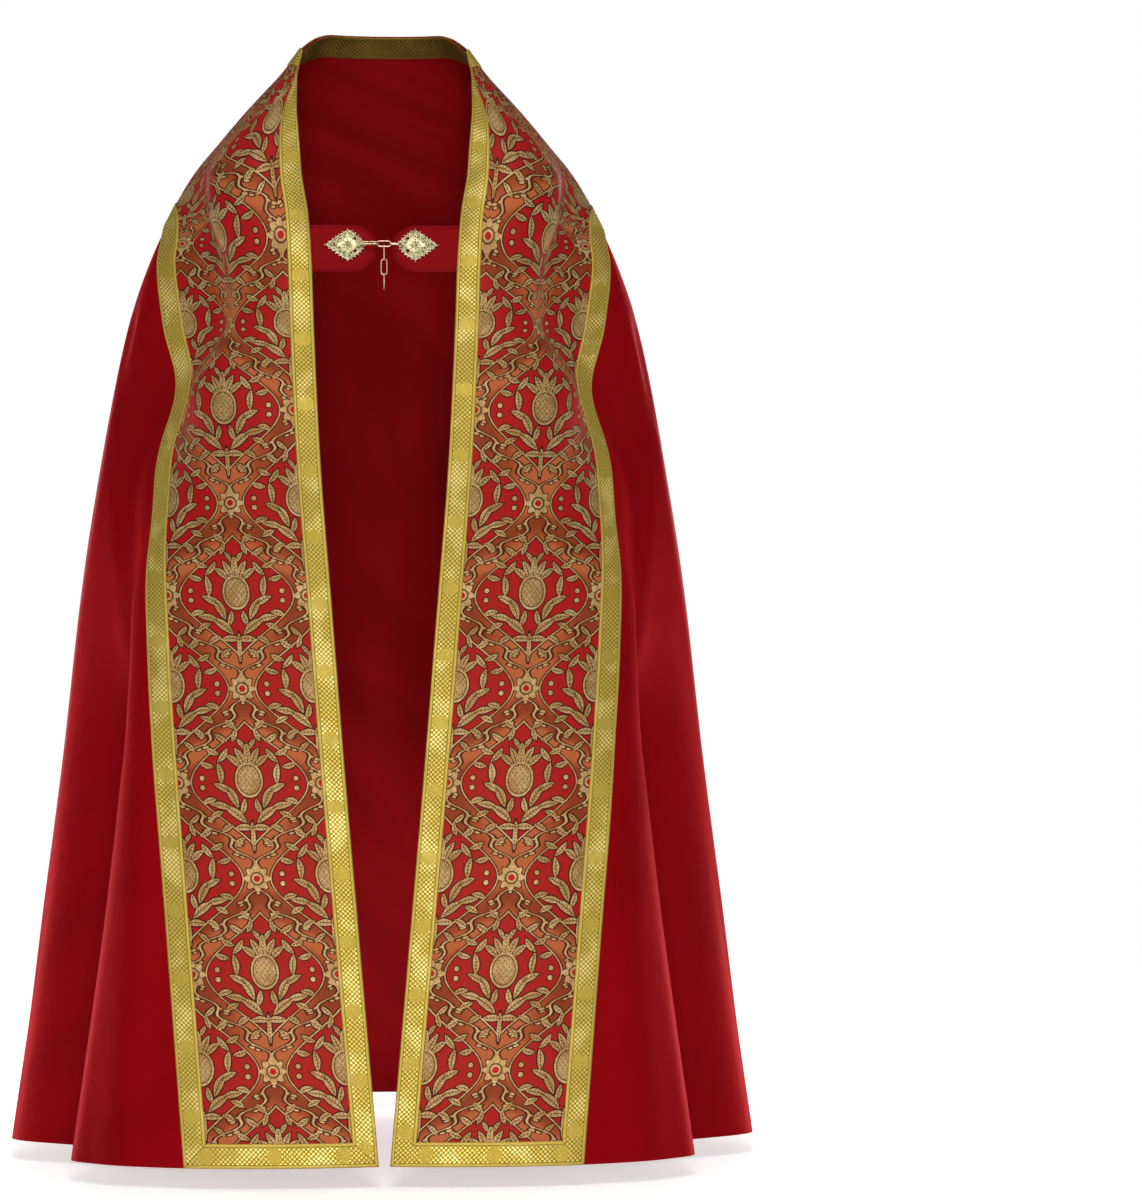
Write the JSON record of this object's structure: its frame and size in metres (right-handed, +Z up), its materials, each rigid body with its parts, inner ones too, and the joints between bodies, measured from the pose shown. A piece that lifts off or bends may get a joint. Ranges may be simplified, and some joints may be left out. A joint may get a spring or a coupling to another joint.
{
  "type": "cope vestment",
  "caption": "Full-length open cloak with brocade bands down the front, gold braid, a fringed back hood and a pierced metal chain clasp, in its worn form.",
  "frame": {"origin": "on the neck's axis at the level of the back neck's top edge, where the wearer's neck and shoulders hold the cope", "axes": "+Z up; the open front faces -Y; +X is towards the wearer's left"},
  "size_m": [0.964, 0.6402, 1.4449],
  "materials": {
    "red_satin": "red satin with a soft sheen, lined in plain dark red",
    "brocade": "red, copper and antique-gold woven brocade",
    "gold_galloon": "metallic gold braid",
    "gold_fringe": "twisted antique-gold cord",
    "pale_gilt": "pale gilt, cast and pierced",
    "rosy_gilt": "rosy gilt wire, polished"
  },
  "bodies": {
    "garment": {"mantle": "red_satin", "orphrey_left": "brocade", "orphrey_right": "brocade", "galloon_edge": "gold_galloon", "galloon_outer": "gold_galloon", "galloon_hem_left": "gold_galloon", "galloon_hem_right": "gold_galloon", "galloon_centre_back": "gold_galloon", "galloon_neck_inside": "gold_galloon", "hood": "brocade", "galloon_hood": "gold_galloon", "fringe_hood": "gold_fringe", "clasp_tab_left": "red_satin", "clasp_tab_right": "red_satin", "clasp_plate_left": "pale_gilt", "clasp_plate_right": "pale_gilt", "link_centre": "rosy_gilt", "link_right": "rosy_gilt"},
    "spare_link_a": {"link_a": "rosy_gilt"},
    "spare_link_b": {"link_b": "rosy_gilt"},
    "spare_link_c": {"link_c": "rosy_gilt"}
  },
  "joints": [
    {"name": "link_a_swing", "type": "hinge", "parent": "garment", "child": "spare_link_a", "pos_m": [-0.0006, -0.15815, -0.30274], "axis": [1, 0, 0], "range_deg": [-60, 60]},
    {"name": "link_b_swing", "type": "hinge", "parent": "spare_link_a", "child": "spare_link_b", "pos_m": [-0.0006, -0.15815, -0.32074], "axis": [0, 1, 0], "range_deg": [-40, 40]},
    {"name": "link_c_swing", "type": "hinge", "parent": "spare_link_b", "child": "spare_link_c", "pos_m": [-0.0006, -0.15815, -0.33874], "axis": [1, 0, 0], "range_deg": [-60, 60]}
  ]
}
